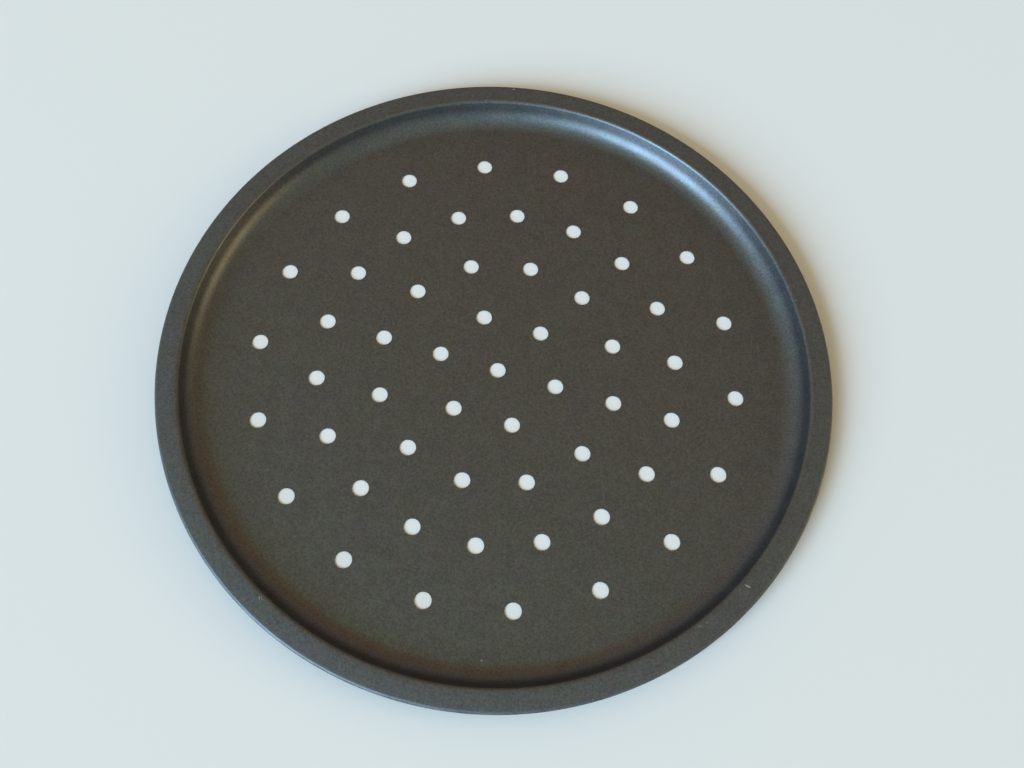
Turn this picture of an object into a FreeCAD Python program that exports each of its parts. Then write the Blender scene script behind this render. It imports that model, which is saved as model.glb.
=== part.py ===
import FreeCAD, Part
import Sketcher
import math
import os

# Perforated pizza pan: one pressed steel sheet with vent holes, its edge rolled over a wire ring.
# Millimetres, +Z up. The origin is the middle of the underside, and +X runs through a hole of the inner rings.

# Driving dimensions, in millimetres, degrees or counts.
SIZES = {
    "pan_diameter": 332.0,  # outside of the rolled edge
    "rim_height": 11.2,  # top of the rim above the underside of the base
    "rim_width": 9.6,  # from the top of the wall out to the edge
    "sheet_thickness": 0.5,
    "corner_radius": 11.0,  # inside radius where the base turns up into the wall
    "wall_angle": 67.0,  # wall above the horizontal
    "bend_radius": 1.5,  # inside radius where the wall turns out into the rim
    "rim_slope": 3.0,  # how far the crowned rim falls away by the time it reaches the rolled edge
    "wire_diameter": 1.8,
    "wire_clearance": 0.15,  # left all round the wire by the rolled edge
    "curl_angle": 285.0,  # how far the edge is rolled round the wire
    "hole_diameter": 8.0,
    "ring_spacing": 30.0,  # from the middle hole to the first ring, and from ring to ring
    "hole_margin": 12.0,  # flat left at least between the outer holes and the corner
    "first_ring_holes": 6,  # each ring has that many more than the one inside it
}

# Sketcher's names for the points of an edge, and for the sketch's own origin and axes.
START, END, CENTRE = range(1, 4)
HORIZONTAL_AXIS = -1
ORIGIN = (HORIZONTAL_AXIS, START)


def make_sheet(doc):
    sheet = doc.addObject("Spreadsheet::Sheet", "sizes")
    for row, (alias, value) in enumerate(SIZES.items(), start=1):
        sheet.set(f"A{row}", alias)
        sheet.set(f"B{row}", str(value))
        sheet.setAlias(f"B{row}", alias)
    doc.recompute()
    return sheet


def make_body(doc, label):
    body = doc.addObject("PartDesign::Body", label)
    body.Label = label
    return body


def make_sketch(body, name, plane):
    sketch = body.newObject("Sketcher::SketchObject", name)
    support = next(f for f in body.Origin.OriginFeatures if f.Role == plane)
    sketch.AttachmentSupport = [(support, "")]
    sketch.MapMode = "FlatFace"
    return sketch


def bind(sketch, kind, where, name, value, formula):
    """Adds a dimension to a sketch, under a name, and ties it to a formula of the sizes."""
    index = sketch.addConstraint(Sketcher.Constraint(kind, *where, value))
    sketch.renameConstraint(index, name)
    sketch.setExpression(f"Constraints.{name}", formula)


def join(sketch, kind, *where):
    sketch.addConstraint(Sketcher.Constraint(kind, *where))


def revolve(body, sketch, name):
    feature = body.newObject("PartDesign::Revolution", name)
    feature.Profile = sketch
    feature.ReferenceAxis = (sketch, ["V_Axis"])
    feature.Angle = 360.0
    return feature


class PanProfile:
    """Where the pressed section runs, in radius and height, worked out from the sizes: the sketch starts here."""

    def __init__(self, size):
        self.thickness = size.sheet_thickness
        self.wall = math.radians(size.wall_angle)
        self.slope = math.radians(size.rim_slope)
        self.curl_end = math.pi / 2 - self.slope - math.radians(size.curl_angle)
        self.corner = size.corner_radius
        self.bend = size.bend_radius + self.thickness
        self.curl = size.wire_diameter / 2 + size.wire_clearance + self.thickness
        turn_rise = 1 - math.cos(self.wall)
        rise = size.rim_height - self.thickness - (self.corner + self.bend) * turn_rise
        run = rise / math.tan(self.wall) + (self.corner + self.bend) * math.sin(self.wall)
        bend_x = size.pan_diameter / 2 - size.rim_width
        curl_x = size.pan_diameter / 2 - self.curl
        self.crown = self.curl + (curl_x - bend_x) / math.sin(self.slope)
        drop = (curl_x - bend_x) * math.tan(self.slope / 2)
        self.corner_at = FreeCAD.Vector(bend_x - run, self.thickness + self.corner)
        self.bend_at = FreeCAD.Vector(bend_x, size.rim_height - self.bend)
        self.crown_at = FreeCAD.Vector(bend_x, size.rim_height - self.crown)
        self.curl_at = FreeCAD.Vector(curl_x, size.rim_height - self.curl - drop)


def arc(centre, radius, first, last):
    circle = Part.Circle(centre, FreeCAD.Vector(0, 0, 1), radius)
    return Part.ArcOfCircle(circle, first, last)


def polar(centre, radius, angle):
    return centre + FreeCAD.Vector(radius * math.cos(angle), radius * math.sin(angle))


def draw_side(sketch, profile, depth):
    """Draws one side of the sheet, from the axis to the end of the curl, at a depth below its upper side."""
    up, down = math.pi / 2, -math.pi / 2
    corner, bend = profile.corner + depth, profile.bend - depth
    crown, curl = profile.crown - depth, profile.curl - depth
    wall_foot = polar(profile.corner_at, corner, profile.wall + down)
    wall_head = polar(profile.bend_at, bend, profile.wall + up)
    floor_height = profile.thickness - depth
    return {
        "floor": sketch.addGeometry(
            Part.LineSegment(FreeCAD.Vector(0, floor_height), FreeCAD.Vector(profile.corner_at.x, floor_height))
        ),
        "corner": sketch.addGeometry(arc(profile.corner_at, corner, down, profile.wall + down)),
        "wall": sketch.addGeometry(Part.LineSegment(wall_foot, wall_head)),
        "bend": sketch.addGeometry(arc(profile.bend_at, bend, up, profile.wall + up)),
        "crown": sketch.addGeometry(arc(profile.crown_at, crown, up - profile.slope, up)),
        "curl": sketch.addGeometry(arc(profile.curl_at, curl, profile.curl_end, up - profile.slope)),
    }


def smooth_side(sketch, side):
    """Makes each stretch of one side run smoothly into the next."""
    join(sketch, "Tangent", side["floor"], END, side["corner"], START)
    join(sketch, "Tangent", side["corner"], END, side["wall"], START)
    join(sketch, "Tangent", side["wall"], END, side["bend"], END)
    join(sketch, "Tangent", side["bend"], START, side["crown"], END)
    join(sketch, "Tangent", side["crown"], START, side["curl"], END)


def draw_section(sketch, size):
    """The closed section of the sheet. Its underside follows the upper side, one sheet thickness away."""
    profile = PanProfile(size)
    upper = draw_side(sketch, profile, 0.0)
    under = draw_side(sketch, profile, profile.thickness)
    axis = sketch.addGeometry(Part.LineSegment(FreeCAD.Vector(0, 0), FreeCAD.Vector(0, profile.thickness)))
    edge = sketch.addGeometry(
        Part.LineSegment(
            polar(profile.curl_at, profile.curl, profile.curl_end),
            polar(profile.curl_at, profile.curl - profile.thickness, profile.curl_end),
        )
    )
    join(sketch, "Coincident", axis, START, *ORIGIN)
    join(sketch, "Vertical", axis)
    join(sketch, "Coincident", axis, END, upper["floor"], START)
    join(sketch, "Coincident", axis, START, under["floor"], START)
    join(sketch, "Horizontal", upper["floor"])
    join(sketch, "Horizontal", under["floor"])
    smooth_side(sketch, upper)
    smooth_side(sketch, under)
    for stretch in ("corner", "bend", "crown", "curl"):
        join(sketch, "Coincident", upper[stretch], CENTRE, under[stretch], CENTRE)
    join(sketch, "Parallel", upper["wall"], under["wall"])
    join(sketch, "Vertical", upper["bend"], CENTRE, upper["bend"], START)
    join(sketch, "Coincident", edge, START, upper["curl"], START)
    join(sketch, "Coincident", edge, END, under["curl"], START)
    join(sketch, "PointOnObject", upper["curl"], CENTRE, edge)

    bind(sketch, "DistanceY", (axis, START, axis, END), "thickness", profile.thickness, "sizes.sheet_thickness")
    bind(sketch, "Radius", (upper["corner"],), "corner", profile.corner, "sizes.corner_radius")
    bind(sketch, "Angle", (upper["wall"],), "wall", profile.wall, "sizes.wall_angle * 1 deg")
    bind(sketch, "Radius", (upper["bend"],), "bend", profile.bend, "sizes.bend_radius + sizes.sheet_thickness")
    bind(sketch, "DistanceX", (*ORIGIN, upper["bend"], START), "rim_reach", profile.bend_at.x,
         "sizes.pan_diameter / 2 - sizes.rim_width")
    bind(sketch, "DistanceY", (*ORIGIN, upper["bend"], START), "rim_height", size.rim_height, "sizes.rim_height")
    bind(sketch, "Angle", (upper["crown"],), "slope", profile.slope, "sizes.rim_slope * 1 deg")
    bind(sketch, "Radius", (upper["curl"],), "curl", profile.curl,
         "sizes.wire_diameter / 2 + sizes.wire_clearance + sizes.sheet_thickness")
    bind(sketch, "DistanceX", (*ORIGIN, upper["curl"], CENTRE), "curl_reach", profile.curl_at.x,
         "sizes.pan_diameter / 2 - sizes.wire_diameter / 2 - sizes.wire_clearance - sizes.sheet_thickness")
    bind(sketch, "Angle", (upper["curl"],), "curl_turn", math.radians(size.curl_angle), "sizes.curl_angle * 1 deg")

    # The height of the curl's middle is measured, not set: the wire takes it from here.
    height = sketch.addConstraint(
        Sketcher.Constraint("DistanceY", *ORIGIN, upper["curl"], CENTRE, profile.curl_at.y)
    )
    sketch.renameConstraint(height, "curl_height")
    sketch.setDriving(height, False)


def punch(body, name, ring, size):
    """Punches one vent hole right through the base, on the middle or on a ring."""
    sketch = make_sketch(body, f"{name}_sketch", "XY_Plane")
    middle = FreeCAD.Vector(ring * size.ring_spacing, 0)
    hole = sketch.addGeometry(Part.Circle(middle, FreeCAD.Vector(0, 0, 1), size.hole_diameter / 2))
    bind(sketch, "Diameter", (hole,), "hole", size.hole_diameter, "sizes.hole_diameter")
    if ring:
        join(sketch, "PointOnObject", hole, CENTRE, HORIZONTAL_AXIS)
        bind(sketch, "DistanceX", (*ORIGIN, hole, CENTRE), "ring", middle.x, f"{ring} * sizes.ring_spacing")
    else:
        join(sketch, "Coincident", hole, CENTRE, *ORIGIN)
    pocket = body.newObject("PartDesign::Pocket", name)
    pocket.Profile = sketch
    pocket.Type = "ThroughAll"
    pocket.Reversed = True
    return sketch, pocket


def punch_ring(body, ring, steps, staggered, size):
    """Punches one ring of holes, steps times as many as the first ring has. Staggered is half a pitch round."""
    sketch, pocket = punch(body, f"ring_{ring}_hole", ring, size)
    count = f"{steps} * sizes.first_ring_holes"
    if staggered:
        sketch.setExpression("AttachmentOffset.Rotation.Angle", f"180 deg / ({count})")
    pattern = body.newObject("PartDesign::PolarPattern", f"ring_{ring}")
    pattern.Originals = [pocket]
    pattern.Axis = (sketch, ["N_Axis"])
    pattern.Angle = 360.0
    pattern.setExpression("Occurrences", count)
    body.Tip = pattern


def ring_steps(size):
    """One entry for each ring that the flat base has room for. The last ring has no more holes than the one inside."""
    room = PanProfile(size).corner_at.x - size.hole_margin - size.hole_diameter / 2
    rings = int(room / size.ring_spacing)
    return [min(ring, max(rings - 1, 1)) for ring in range(1, rings + 1)]


def make_pan_shell(doc, size):
    body = make_body(doc, "pan_shell")
    section = make_sketch(body, "pan_section", "XZ_Plane")
    draw_section(section, size)
    pressing = revolve(body, section, "pan_pressing")
    doc.recompute()
    blank = pressing.Shape.Volume
    punch(body, "middle_hole", 0, size)
    steps = ring_steps(size)
    for ring, step in enumerate(steps, start=1):
        punch_ring(body, ring, step, ring > step, size)
    doc.recompute()
    holes = 1 + sum(steps) * int(size.first_ring_holes)
    slug = math.pi * (size.hole_diameter / 2) ** 2 * size.sheet_thickness
    punched_out = blank - body.Shape.Volume
    if abs(punched_out - holes * slug) > 0.001 * holes * slug:
        raise RuntimeError(f"{holes} holes should take {holes * slug:.2f} mm3 and took {punched_out:.2f}")
    return body


def make_rim_wire(doc, size):
    body = make_body(doc, "rim_wire")
    section = make_sketch(body, "wire_section", "XZ_Plane")
    at = PanProfile(size).curl_at
    wire = section.addGeometry(Part.Circle(at, FreeCAD.Vector(0, 0, 1), size.wire_diameter / 2))
    bind(section, "Diameter", (wire,), "wire", size.wire_diameter, "sizes.wire_diameter")
    bind(section, "DistanceX", (*ORIGIN, wire, CENTRE), "reach", at.x, "pan_section.Constraints.curl_reach")
    bind(section, "DistanceY", (*ORIGIN, wire, CENTRE), "height", at.y, "pan_section.Constraints.curl_height")
    revolve(body, section, "wire_ring")
    return body


def check(doc, bodies):
    for item in doc.Objects:
        if "Invalid" in item.State or "Error" in item.State:
            raise RuntimeError(f"{item.Name} did not build: {item.State}")
    for body in bodies:
        if body.Shape.isNull() or not body.Shape.isValid():
            raise RuntimeError(f"{body.Label} has no sound solid")


def main():
    doc = FreeCAD.newDocument("pizza_pan")
    size = make_sheet(doc)
    bodies = [make_pan_shell(doc, size), make_rim_wire(doc, size)]
    doc.recompute()
    check(doc, bodies)
    os.makedirs("parts", exist_ok=True)
    for body in bodies:
        body.Shape.exportStep(f"parts/{body.Label}.step")
        box = body.Shape.optimalBoundingBox(True, False)
        print(f"{body.Label}: {box.XLength:.2f} x {box.YLength:.2f} x {box.ZLength:.2f} mm, "
              f"{len(body.Shape.Solids)} solid, {body.Shape.Volume:.1f} mm3")


main()
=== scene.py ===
import math

import bmesh
import bpy
from mathutils import Matrix, Vector


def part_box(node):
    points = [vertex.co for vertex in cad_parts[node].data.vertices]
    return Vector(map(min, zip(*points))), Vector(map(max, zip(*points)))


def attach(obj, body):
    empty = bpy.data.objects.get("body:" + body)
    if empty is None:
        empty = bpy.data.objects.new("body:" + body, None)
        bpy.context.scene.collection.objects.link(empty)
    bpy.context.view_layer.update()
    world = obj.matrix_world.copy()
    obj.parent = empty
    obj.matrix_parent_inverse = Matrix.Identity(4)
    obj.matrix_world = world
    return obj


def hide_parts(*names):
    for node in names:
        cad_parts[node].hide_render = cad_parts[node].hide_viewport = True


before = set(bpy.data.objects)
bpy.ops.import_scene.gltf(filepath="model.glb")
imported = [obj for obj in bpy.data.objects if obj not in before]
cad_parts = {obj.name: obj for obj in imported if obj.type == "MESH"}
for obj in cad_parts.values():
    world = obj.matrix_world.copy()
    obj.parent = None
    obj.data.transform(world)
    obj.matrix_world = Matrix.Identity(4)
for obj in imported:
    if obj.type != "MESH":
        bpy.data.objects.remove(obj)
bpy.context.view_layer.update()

mm = 0.001               # sizes below are in millimetres, the scene is in metres
fullTurn = 2 * math.pi


# sRGB hex to the linear colour that the nodes take
def hexColour(code):
    channels = [int(code[i:i + 2], 16) / 255 for i in (0, 2, 4)]
    linear = [c / 12.92 if c <= 0.04045 else ((c + 0.055) / 1.055) ** 2.4 for c in channels]
    return (*linear, 1.0)


# adds one node: settings are its own properties or input values, links are (input, other node, its output)
def addNode(tree, kind, settings=None, links=()):
    node = tree.nodes.new(kind)
    for name, value in (settings or {}).items():
        if isinstance(name, int) or name in node.inputs:
            node.inputs[name].default_value = value
        else:
            setattr(node, name, value)
    for name, source, output in links:
        tree.links.new(source.outputs[output], node.inputs[name])
    return node


def newMaterial(name):
    material = bpy.data.materials.new(name)
    material.use_nodes = True
    material.node_tree.nodes.clear()
    return material, material.node_tree


# sweeps all that is drawn so far once round the pan's axis
def spinRound(bm, steps):
    bmesh.ops.spin(bm, geom=bm.verts[:] + bm.edges[:], cent=(0, 0, 0), axis=(0, 0, 1), angle=fullTurn,
                   steps=steps, use_merge=True)


# turns a finished bmesh into an object that sits at the origin and rides with the pan
def makePiece(bm, name, node, material):
    mesh = bpy.data.meshes.new(name)
    for face in bm.faces:
        face.smooth = True
    bm.to_mesh(mesh)
    bm.free()
    mesh.materials.append(material)
    piece = bpy.data.objects.new(name, mesh)
    bpy.context.scene.collection.objects.link(piece)
    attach(piece, "root")
    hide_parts(node)
    return piece


# PTFE non-stick coating with a little metal pigment, sprayed on the pressed sheet and baked: a dark grey satin
# with a fine sprayed grain, faint clouds of brown, green and grey, a few hairlines, flecks and nicks, and thin
# wear along the edges
coating = {
    "colour": "5C5D5F",
    "metallic": 0.9,
    "roughness": 0.44,
    "roughSpread": 0.12,
    "rimFrom": (156.0, 158.5),       # mm from the axis; nothing rubs the rim smooth, so it is duller
    "rimDull": 0.12,
    "grain": 0.9,                    # mm; the real grain is about 0.2, too fine to show
    "grainDepth": 0.02,              # mm
    "grainShade": 1.15,              # share of the colour
    "cloud": 9.0,                    # mm
    "cloudShade": 0.24,
    "wave": 30.0,                    # mm, slow waviness that pressing leaves in the sheet
    "waveDepth": 0.12,               # mm
    "hairline": (45.0, 0.5),         # mm long and wide; real ones are about 0.1 wide, too fine to show
    "hairlineTurns": (28.0, 117.0),  # degrees
    "hairlineBand": (0.79, 0.86),    # levels of the noise between which one fades in, so that few show
    "hairlineShade": 0.08,
    "wearBreak": 12.0,               # mm, size of the patches that the wear along the edges breaks into
    "wearBand": (0.40, 0.65),        # levels of the noise between which a patch fades in
    "wearShade": 0.12,
    "fleckSpacing": 22.0,            # mm
    "fleckWidth": 0.5,               # mm
    "fleckFree": 0.4,                # share of the places that have none
    "fleckShade": 0.35,
    "bareColour": "B9BBBB",          # where the coating is thin or gone
    "bareSmooth": 0.15,              # how much less rough it is there
    "nickDepth": 0.3,                # mm
    "nickFade": (1.3, 0.6),          # shares of a nick's reach between which it fades in
    # nicks: x, y, z in mm, turn in degrees, length and width in mm, and how bare the metal is
    "nicks": (
        (140.7, -72.9, 11.18, -10.0, 2.9, 0.6, 1.0),
        (-38.6, 159.3, 11.0, 16.0, 1.6, 0.5, 0.8),
        (33.6, -137.9, 0.5, 20.0, 1.0, 0.7, 0.6),
        (-68.9, -141.8, 11.2, 111.0, 2.0, 0.45, 0.5),
        (-68.1, -141.5, 11.2, 111.0, 1.7, 0.4, 0.35),
        (-67.0, -141.9, 11.2, 0.0, 0.7, 0.5, 0.3),
        (126.2, -94.3, 11.19, 16.0, 1.6, 0.8, 0.2),
        (123.2, -96.9, 11.19, 16.0, 2.0, 0.8, 0.2),
        (135.6, 78.3, 11.19, 105.0, 1.4, 0.8, 0.2),
        (63.0, -86.8, 0.5, 16.0, 1.8, 0.7, 0.15),
    ),
}


def makeCoating():
    material, tree = newMaterial("bakedNonStickCoating")
    place = addNode(tree, "ShaderNodeTexCoord")
    onPiece = [("Vector", place, "Object")]
    grain = addNode(tree, "ShaderNodeTexNoise", {"Scale": 1 / (coating["grain"] * mm), "Detail": 3.0}, onPiece)
    cloud = addNode(tree, "ShaderNodeTexNoise", {"Scale": 1 / (coating["cloud"] * mm), "Detail": 2.0}, onPiece)
    wave = addNode(tree, "ShaderNodeTexNoise", {"Scale": 1 / (coating["wave"] * mm), "Detail": 1.0}, onPiece)

    # the clouds tint the colour and the grain shades it, both about their middle of 0.5
    plain = Vector(hexColour(coating["colour"])[:3])
    tint = addNode(tree, "ShaderNodeVectorMath", {
        "operation": "MULTIPLY_ADD",
        1: plain * coating["cloudShade"],
        2: plain * (1 - coating["cloudShade"] / 2),
    }, [(0, cloud, "Color")])
    shade = addNode(tree, "ShaderNodeMath", {
        "operation": "MULTIPLY_ADD",
        1: coating["grainShade"],
        2: 1 - coating["grainShade"] / 2,
    }, [(0, grain, "Fac")])
    shaded = addNode(tree, "ShaderNodeVectorMath", {"operation": "SCALE"},
                     [("Vector", tint, "Vector"), ("Scale", shade, "Value")])

    # hairlines lie in two directions on the flat of the pan
    marks = []
    long, wide = coating["hairline"]
    faintest, fullest = coating["hairlineBand"]
    for turn in coating["hairlineTurns"]:
        along = addNode(tree, "ShaderNodeMapping", {
            "Rotation": (0, 0, math.radians(turn)),
            "Scale": (1 / (long * mm), 1 / (wide * mm), 1 / (long * mm)),
        }, onPiece)
        line = addNode(tree, "ShaderNodeTexNoise", {"Scale": 1.0, "Detail": 0.0}, [("Vector", along, "Vector")])
        marks.append(addNode(tree, "ShaderNodeMapRange", {
            "From Min": faintest,
            "From Max": fullest,
            "To Max": coating["hairlineShade"],
        }, [("Value", line, "Fac")]))

    # wear along the edges breaks up into patches
    edges = addNode(tree, "ShaderNodeAttribute", {"attribute_name": "edgeWear"})
    patch = addNode(tree, "ShaderNodeTexNoise", {"Scale": 1 / (coating["wearBreak"] * mm), "Detail": 3.0}, onPiece)
    faintest, fullest = coating["wearBand"]
    broken = addNode(tree, "ShaderNodeMapRange", {
        "From Min": faintest,
        "From Max": fullest,
        "To Max": coating["wearShade"],
    }, [("Value", patch, "Fac")])
    marks.append(addNode(tree, "ShaderNodeMath", {"operation": "MULTIPLY"},
                         [(0, edges, "Fac"), (1, broken, "Result")]))

    # flecks: at most one in each cell of a loose net, many of them too small to see
    cells = addNode(tree, "ShaderNodeTexVoronoi", {
        "voronoi_dimensions": "2D",
        "Scale": 1 / (coating["fleckSpacing"] * mm),
    }, onPiece)
    chance = addNode(tree, "ShaderNodeSeparateColor", links=[("Color", cells, "Color")])
    reach = addNode(tree, "ShaderNodeMapRange", {
        "From Min": coating["fleckFree"],
        "To Max": coating["fleckWidth"] / 2 / coating["fleckSpacing"],
    }, [("Value", chance, "Red")])
    fleck = addNode(tree, "ShaderNodeMath", {"operation": "LESS_THAN"},
                    [(0, cells, "Distance"), (1, reach, "Result")])
    marks.append(addNode(tree, "ShaderNodeMath", {"operation": "MULTIPLY", 1: coating["fleckShade"]},
                         [(0, fleck, "Value")]))

    # each nick is a small flat ellipsoid of bare metal
    outer, inner = coating["nickFade"]
    for x, y, z, turn, length, width, bare in coating["nicks"]:
        about = addNode(tree, "ShaderNodeMapping", {
            "vector_type": "TEXTURE",
            "Location": (x * mm, y * mm, z * mm),
            "Rotation": (0, 0, math.radians(turn)),
            "Scale": (length / 2 * mm, width / 2 * mm, coating["nickDepth"] * mm),
        }, onPiece)
        far = addNode(tree, "ShaderNodeVectorMath", {"operation": "LENGTH"}, [(0, about, "Vector")])
        marks.append(addNode(tree, "ShaderNodeMapRange", {"From Min": outer, "From Max": inner, "To Max": bare},
                             [("Value", far, "Value")]))

    # the strongest mark counts at each place
    bright = marks[0]
    for mark in marks[1:]:
        bright = addNode(tree, "ShaderNodeMath", {"operation": "MAXIMUM"}, [(0, bright, 0), (1, mark, 0)])
    colour = addNode(tree, "ShaderNodeMix", {"data_type": "RGBA", 7: hexColour(coating["bareColour"])},
                     [("Factor", bright, 0), (6, shaded, "Vector")])

    # roughness: the grain and the clouds both break the gloss, the rim is duller, marks are smoother
    spread = coating["roughSpread"]
    uneven = addNode(tree, "ShaderNodeMath", {"operation": "ADD"}, [(0, grain, "Fac"), (1, cloud, "Fac")])
    rough = addNode(tree, "ShaderNodeMath", {
        "operation": "MULTIPLY_ADD",
        1: spread,
        2: coating["roughness"] - spread,
    }, [(0, uneven, "Value")])
    outward = addNode(tree, "ShaderNodeVectorMath", {"operation": "MULTIPLY", 1: (1, 1, 0)},
                      [(0, place, "Object")])
    away = addNode(tree, "ShaderNodeVectorMath", {"operation": "LENGTH"}, [(0, outward, "Vector")])
    start, end = coating["rimFrom"]
    onRim = addNode(tree, "ShaderNodeMapRange", {
        "From Min": start * mm,
        "From Max": end * mm,
        "To Max": coating["rimDull"],
    }, [("Value", away, "Value")])
    dull = addNode(tree, "ShaderNodeMath", {"operation": "ADD"}, [(0, rough, "Value"), (1, onRim, "Result")])
    gloss = addNode(tree, "ShaderNodeMath", {"operation": "MULTIPLY_ADD", 1: -coating["bareSmooth"]},
                    [(0, bright, 0), (2, dull, "Value")])

    waves = addNode(tree, "ShaderNodeBump", {"Distance": coating["waveDepth"] * mm},
                    [("Height", wave, "Fac")])
    relief = addNode(tree, "ShaderNodeBump", {"Distance": coating["grainDepth"] * mm},
                     [("Height", grain, "Fac"), ("Normal", waves, "Normal")])
    shader = addNode(tree, "ShaderNodeBsdfPrincipled", {"Metallic": coating["metallic"]},
                     [("Base Color", colour, 2), ("Roughness", gloss, "Value"), ("Normal", relief, "Normal")])
    addNode(tree, "ShaderNodeOutputMaterial", links=[("Surface", shader, "BSDF")])
    return material


# drawn mild steel wire, bare under the rolled edge: a grey satin with the lines of the drawing die along its
# length and dull patches where it has begun to tarnish
wireSteel = {
    "colour": "B9B8B5",
    "dullColour": "7E7A73",
    "roughness": 0.32,
    "dullRoughness": 0.52,
    "line": (40.0, 0.15),    # mm long and wide; real ones are about 0.02 wide, too fine to show
    "lineDepth": 0.01,       # mm
    "lineShade": 0.25,
    "patch": 7.0,            # mm
    "patchBand": (0.45, 0.7),  # levels of the noise between which a patch fades in
}


def makeWireSteel():
    material, tree = newMaterial("drawnSteelWire")
    place = addNode(tree, "ShaderNodeTexCoord")
    onPiece = [("Vector", place, "Object")]

    # the lines follow the ring: fine across it, in height and in distance from the axis, long the other way
    long, wide = wireSteel["line"]
    along = addNode(tree, "ShaderNodeMapping", {
        "Scale": (1 / (long * mm), 1 / (long * mm), 1 / (wide * mm)),
    }, onPiece)
    across = addNode(tree, "ShaderNodeVectorMath", {
        "operation": "MULTIPLY",
        1: (1 / (wide * mm), 1 / (wide * mm), 0),
    }, [(0, place, "Object")])
    away = addNode(tree, "ShaderNodeVectorMath", {"operation": "LENGTH"}, [(0, across, "Vector")])
    line = addNode(tree, "ShaderNodeTexNoise", {"noise_dimensions": "4D", "Scale": 1.0, "Detail": 2.0},
                   [("Vector", along, "Vector"), ("W", away, "Value")])

    patch = addNode(tree, "ShaderNodeTexNoise", {"Scale": 1 / (wireSteel["patch"] * mm), "Detail": 3.0}, onPiece)
    faintest, fullest = wireSteel["patchBand"]
    dull = addNode(tree, "ShaderNodeMapRange", {"From Min": faintest, "From Max": fullest},
                   [("Value", patch, "Fac")])
    lined = addNode(tree, "ShaderNodeMath", {"operation": "MULTIPLY_ADD", 1: wireSteel["lineShade"]},
                    [(0, line, "Fac"), (2, dull, "Result")])
    colour = addNode(tree, "ShaderNodeMix", {
        "data_type": "RGBA",
        6: hexColour(wireSteel["colour"]),
        7: hexColour(wireSteel["dullColour"]),
    }, [("Factor", lined, "Value")])
    rough = addNode(tree, "ShaderNodeMapRange", {
        "To Min": wireSteel["roughness"],
        "To Max": wireSteel["dullRoughness"],
    }, [("Value", lined, "Value")])
    relief = addNode(tree, "ShaderNodeBump", {"Distance": wireSteel["lineDepth"] * mm},
                     [("Height", line, "Fac")])
    shader = addNode(tree, "ShaderNodeBsdfPrincipled", {"Metallic": 1.0},
                     [("Base Color", colour, 2), ("Roughness", rough, "Result"), ("Normal", relief, "Normal")])
    addNode(tree, "ShaderNodeOutputMaterial", links=[("Surface", shader, "BSDF")])
    return material


# the pressed sheet, all sizes of its upper side in mm and degrees
panShell = {
    "sheet": 0.5,
    "rimWidth": 9.6,
    "corner": 11.0,
    "wallAngle": 67.0,
    "bend": 2.0,
    "rimSlope": 3.0,
    "curl": 1.55,
    "curlTurn": 285.0,
    "flatRing": 2.0,         # band of flat base kept as quads inside the corner
    "holeWidth": 8.0,
    "ringPitch": 30.0,
    "ringHoles": (6, 12, 18, 18),
    "staggeredRing": 4,      # stands half a pitch round
    "holeEdge": 0.1,         # the punch leaves the holes' edges a little round
    "holeEdgeSteps": 2,
    "holeEdgeAngle": 50.0,   # only edges sharper than this are rounded
    "holeCollar": 0.5,       # band round each hole where the coating wears
    "beadBand": 0.6,         # band of the rolled edge where it wears
    "crestBand": (1.0, 0.5),  # inwards and down from the top of the bend, where it wears a little
    "crestWear": 0.4,
    "cornerSteps": 16,
    "bendSteps": 12,
    "rimSteps": 6,
    "curlSteps": 40,
    "turnSteps": 256,
    "holeSteps": 48,
    "outlineSlack": 0.1,     # room for finding the edges of the flat base's outline
    "mergeWithin": 0.0001,
}


# sweeps the chain's last vertex round a centre, counter-clockwise as seen with X right and Z up
def turnTip(bm, tip, centre, degrees, steps):
    swept = bmesh.ops.spin(bm, geom=[tip], cent=centre, axis=(0, -1, 0), angle=math.radians(degrees),
                           steps=steps)
    return next(item for item in swept["geom_last"] if isinstance(item, bmesh.types.BMVert))


def runTip(bm, tip, place):
    drawn = bmesh.ops.extrude_vert_indiv(bm, verts=[tip])["verts"][0]
    drawn.co = place
    return drawn


# one chain of edges along the upper side of the sheet, from the flat base to the end of the curl
def drawSection(bm, size, radius, height):
    wall = math.radians(size["wallAngle"])
    slope = math.radians(size["rimSlope"])
    corner, bend, curl = size["corner"] * mm, size["bend"] * mm, size["curl"] * mm
    floorZ = size["sheet"] * mm
    bendX = radius - size["rimWidth"] * mm
    curlX = radius - curl
    turnRise = 1 - math.cos(wall)
    rise = height - floorZ - (corner + bend) * turnRise
    baseX = bendX - (corner + bend) * math.sin(wall) - rise / math.tan(wall)
    flatX = baseX - size["flatRing"] * mm
    crown = curl + (curlX - bendX) / math.sin(slope)
    wallTop = Vector((bendX - bend * math.sin(wall), 0, height - bend * turnRise))
    curlZ = height - curl - (curlX - bendX) * math.tan(slope / 2)

    tip = bm.verts.new((flatX, 0, floorZ))
    tip = runTip(bm, tip, (baseX, 0, floorZ))
    tip = turnTip(bm, tip, (baseX, 0, floorZ + corner), size["wallAngle"], size["cornerSteps"])
    tip = runTip(bm, tip, wallTop)
    tip = turnTip(bm, tip, (bendX, 0, height - bend), -size["wallAngle"], size["bendSteps"])
    tip = turnTip(bm, tip, (bendX, 0, height - crown), -size["rimSlope"], size["rimSteps"])
    turnTip(bm, tip, (curlX, 0, curlZ), -size["curlTurn"], size["curlSteps"])
    return flatX


def holePlaces(size):
    places = [Vector((0, 0, 0))]
    for ring, count in enumerate(size["ringHoles"], start=1):
        half = 0.5 if ring == size["staggeredRing"] else 0
        for k in range(count):
            angle = (k + half) * fullTurn / count
            places.append(ring * size["ringPitch"] * mm * Vector((math.cos(angle), math.sin(angle), 0)))
    return places


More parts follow.
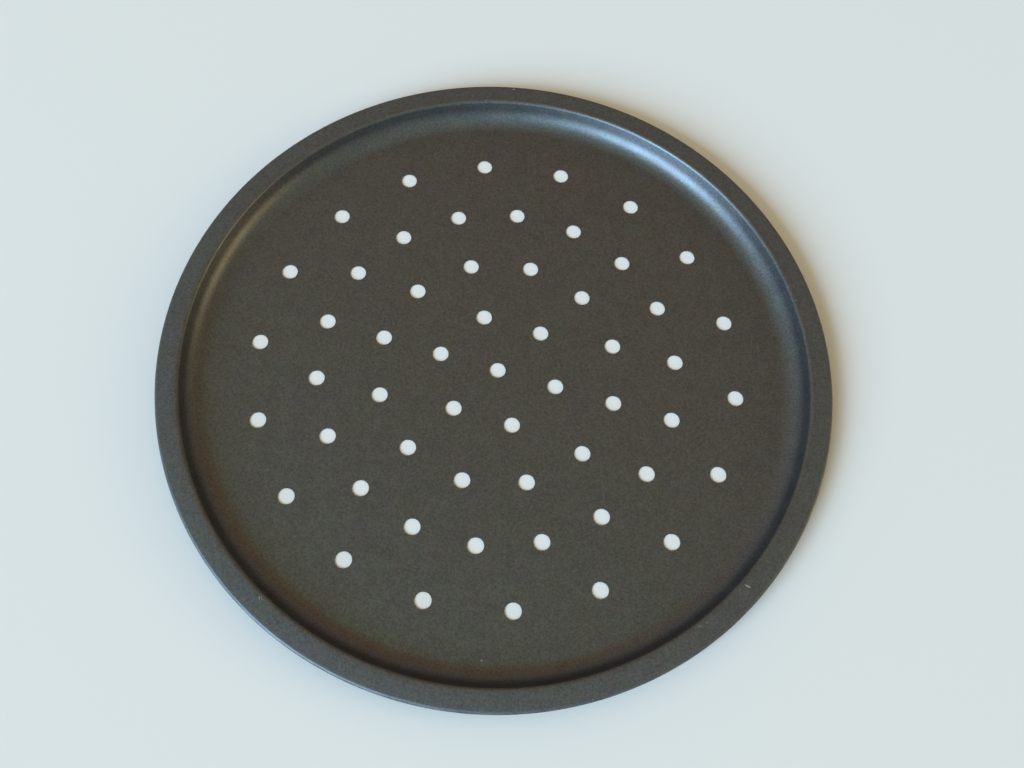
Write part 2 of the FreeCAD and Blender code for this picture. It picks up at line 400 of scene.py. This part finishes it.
def makePanShell(material):
    size = panShell
    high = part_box("pan_shell")[1]
    radius, height = high[0], high[2]
    bm = bmesh.new()
    wear = bm.verts.layers.float.new("edgeWear")
    flatX = drawSection(bm, size, radius, height)
    bendX = radius - size["rimWidth"] * mm
    crestIn, crestDown = size["crestBand"]
    for v in bm.verts:
        if v.co.x > radius - size["beadBand"] * mm:
            v[wear] = 1.0
        elif bendX - crestIn * mm < v.co.x < bendX and v.co.z > height - crestDown * mm:
            v[wear] = size["crestWear"]
    spinRound(bm, size["turnSteps"])

    # the flat base is filled between its round outline and the outlines of the vent holes' collars
    within = flatX + size["outlineSlack"] * mm
    outline = [e for e in bm.edges if all(v.co.xy.length < within for v in e.verts)]
    hole = size["holeWidth"] / 2
    for place in holePlaces(size):
        at = Matrix.Translation(place + Vector((0, 0, size["sheet"] * mm)))
        rings = []
        for reach, worn in ((hole, 1.0), (hole + size["holeCollar"], 0.0)):
            ring = bmesh.ops.create_circle(bm, segments=size["holeSteps"], radius=reach * mm, matrix=at)
            for v in ring["verts"]:
                v[wear] = worn
            rings.append({e for v in ring["verts"] for e in v.link_edges})
        bmesh.ops.bridge_loops(bm, edges=[e for ring in rings for e in ring])
        outline += rings[1]
    bmesh.ops.triangle_fill(bm, edges=outline, use_beauty=True, normal=(0, 0, 1))
    bmesh.ops.remove_doubles(bm, verts=bm.verts, dist=size["mergeWithin"] * mm)

    # the upper side faces up, so that the sheet gets its thickness below it
    bmesh.ops.recalc_face_normals(bm, faces=bm.faces)
    base = min(bm.faces, key=lambda f: f.calc_center_median().length)
    if base.normal.z < 0:
        bmesh.ops.reverse_faces(bm, faces=bm.faces)

    piece = makePiece(bm, "panShell", "pan_shell", material)
    thick = piece.modifiers.new("sheet", "SOLIDIFY")
    thick.thickness = size["sheet"] * mm
    thick.offset = -1
    thick.use_even_offset = True
    rounding = piece.modifiers.new("punchedEdges", "BEVEL")
    rounding.width = size["holeEdge"] * mm
    rounding.segments = size["holeEdgeSteps"]
    rounding.limit_method = "ANGLE"
    rounding.angle_limit = math.radians(size["holeEdgeAngle"])
    rounding.harden_normals = True
    print("pan shell:", len(piece.data.polygons), "faces before its thickness")


# the wire ring in the rolled edge
rimWire = {
    "turnSteps": 256,
    "roundSteps": 20,
}


def makeRimWire(material):
    size = rimWire
    low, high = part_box("rim_wire")
    thickness = high[2] - low[2]
    bm = bmesh.new()
    upright = Matrix.Rotation(math.pi / 2, 4, "X")
    place = Matrix.Translation((high[0] - thickness / 2, 0, (low[2] + high[2]) / 2))
    bmesh.ops.create_circle(bm, segments=size["roundSteps"], radius=thickness / 2, matrix=place @ upright)
    spinRound(bm, size["turnSteps"])
    bmesh.ops.recalc_face_normals(bm, faces=bm.faces)
    piece = makePiece(bm, "rimWire", "rim_wire", material)
    print("rim wire:", len(piece.data.polygons), "faces")


# plain pale floor, matt and round
floor = {
    "colour": "D9D3D0",
    "roughness": 0.9,
    "gloss": 0.2,
    "radius": 5.0,           # m
    "steps": 128,
    "gap": 0.05,             # mm below the pan, so that the two never share a plane
}


def makeFloor():
    material, tree = newMaterial("paleFloor")
    shader = addNode(tree, "ShaderNodeBsdfPrincipled", {
        "Base Color": hexColour(floor["colour"]),
        "Roughness": floor["roughness"],
        "Specular IOR Level": floor["gloss"],
    })
    addNode(tree, "ShaderNodeOutputMaterial", links=[("Surface", shader, "BSDF")])
    bm = bmesh.new()
    bmesh.ops.create_circle(bm, cap_ends=True, segments=floor["steps"], radius=floor["radius"],
                            matrix=Matrix.Translation((0, 0, -floor["gap"] * mm)))
    mesh = bpy.data.meshes.new("floor")
    bm.to_mesh(mesh)
    bm.free()
    mesh.materials.append(material)
    stage = bpy.data.objects.new("floor", mesh)
    bpy.context.scene.collection.objects.link(stage)
    print("floor laid")


# a tall cool softbox at the near left, a faint warm one low at the right, and a pale warm room
lights = {
    "softboxes": {           # degrees as seen from the pan, metres, watts
        "coolSoftbox": {"azimuth": 239.5, "elevation": 26.5, "distance": 16.0, "width": 8.4, "height": 9.6,
                        "colour": "B4DEFF", "power": 5250.0},
        "warmSoftbox": {"azimuth": 12.0, "elevation": 16.5, "distance": 16.0, "width": 5.95, "height": 5.95,
                        "colour": "FFE4A4", "power": 567.0},
    },
    "roomTop": "CACEAA",     # the room overhead, above the back, and at the level of the floor
    "roomBack": "C68C50",
    "roomSide": "ACACA8",
    "backBand": (0.05, 0.65),  # shares of the way to the back between which overhead turns into back
    "brightSide": 180.0,     # degrees, where the room is brighter, and by how much
    "brighter": 0.2,
}


def makeLights():
    for name, box in lights["softboxes"].items():
        turn, lift = math.radians(box["azimuth"]), math.radians(box["elevation"])
        away = Vector((math.cos(turn) * math.cos(lift), math.sin(turn) * math.cos(lift), math.sin(lift)))
        lamp = bpy.data.lights.new(name, "AREA")
        lamp.shape = "RECTANGLE"
        lamp.size = box["width"]
        lamp.size_y = box["height"]
        lamp.energy = box["power"]
        lamp.color = hexColour(box["colour"])[:3]
        holder = bpy.data.objects.new(name, lamp)
        holder.location = away * box["distance"]
        holder.rotation_euler = away.to_track_quat("Z", "Y").to_euler()
        holder.visible_camera = False
        bpy.context.scene.collection.objects.link(holder)

    # the room's colour by direction: +Y is the back, +Z overhead
    world = bpy.data.worlds.new("room")
    world.use_nodes = True
    tree = world.node_tree
    tree.nodes.clear()
    way = addNode(tree, "ShaderNodeTexCoord")
    parts = addNode(tree, "ShaderNodeSeparateXYZ", links=[("Vector", way, "Generated")])
    first, last = lights["backBand"]
    back = addNode(tree, "ShaderNodeMapRange", {"From Min": first, "From Max": last}, [("Value", parts, "Y")])
    above = addNode(tree, "ShaderNodeMix", {
        "data_type": "RGBA",
        6: hexColour(lights["roomTop"]),
        7: hexColour(lights["roomBack"]),
    }, [("Factor", back, "Result")])
    colour = addNode(tree, "ShaderNodeMix", {"data_type": "RGBA", 6: hexColour(lights["roomSide"])},
                     [("Factor", parts, "Z"), (7, above, 2)])
    toward = math.radians(lights["brightSide"])
    side = addNode(tree, "ShaderNodeVectorMath", {
        "operation": "DOT_PRODUCT",
        1: (math.cos(toward), math.sin(toward), 0),
    }, [(0, way, "Generated")])
    strength = addNode(tree, "ShaderNodeMath", {"operation": "MULTIPLY_ADD", 1: lights["brighter"], 2: 1.0},
                       [(0, side, "Value")])
    glow = addNode(tree, "ShaderNodeBackground",
                   links=[("Color", colour, 2), ("Strength", strength, "Value")])
    addNode(tree, "ShaderNodeOutputWorld", links=[("Surface", glow, "Background")])
    bpy.context.scene.world = world
    print("lights set")


# where the photograph was taken from: mm in the pan's frame, degrees, and a lens for a 36 mm wide sensor
camera = {
    "place": (43.74, -198.65, 481.62),
    "turn": (22.106, -2.502, 16.312),
    "lens": 36.63,
    "sensor": 36.0,
}


def makeCamera():
    lens = bpy.data.cameras.new("camera")
    lens.sensor_fit = "HORIZONTAL"
    lens.sensor_width = camera["sensor"]
    lens.lens = camera["lens"]
    holder = bpy.data.objects.new("camera", lens)
    holder.location = Vector(camera["place"]) * mm
    holder.rotation_euler = [math.radians(a) for a in camera["turn"]]
    bpy.context.scene.collection.objects.link(holder)
    bpy.context.scene.camera = holder
    print("camera placed")


makeCamera()
makePanShell(makeCoating())
makeRimWire(makeWireSteel())
makeFloor()
makeLights()
bpy.context.scene.view_settings.view_transform = "Standard"
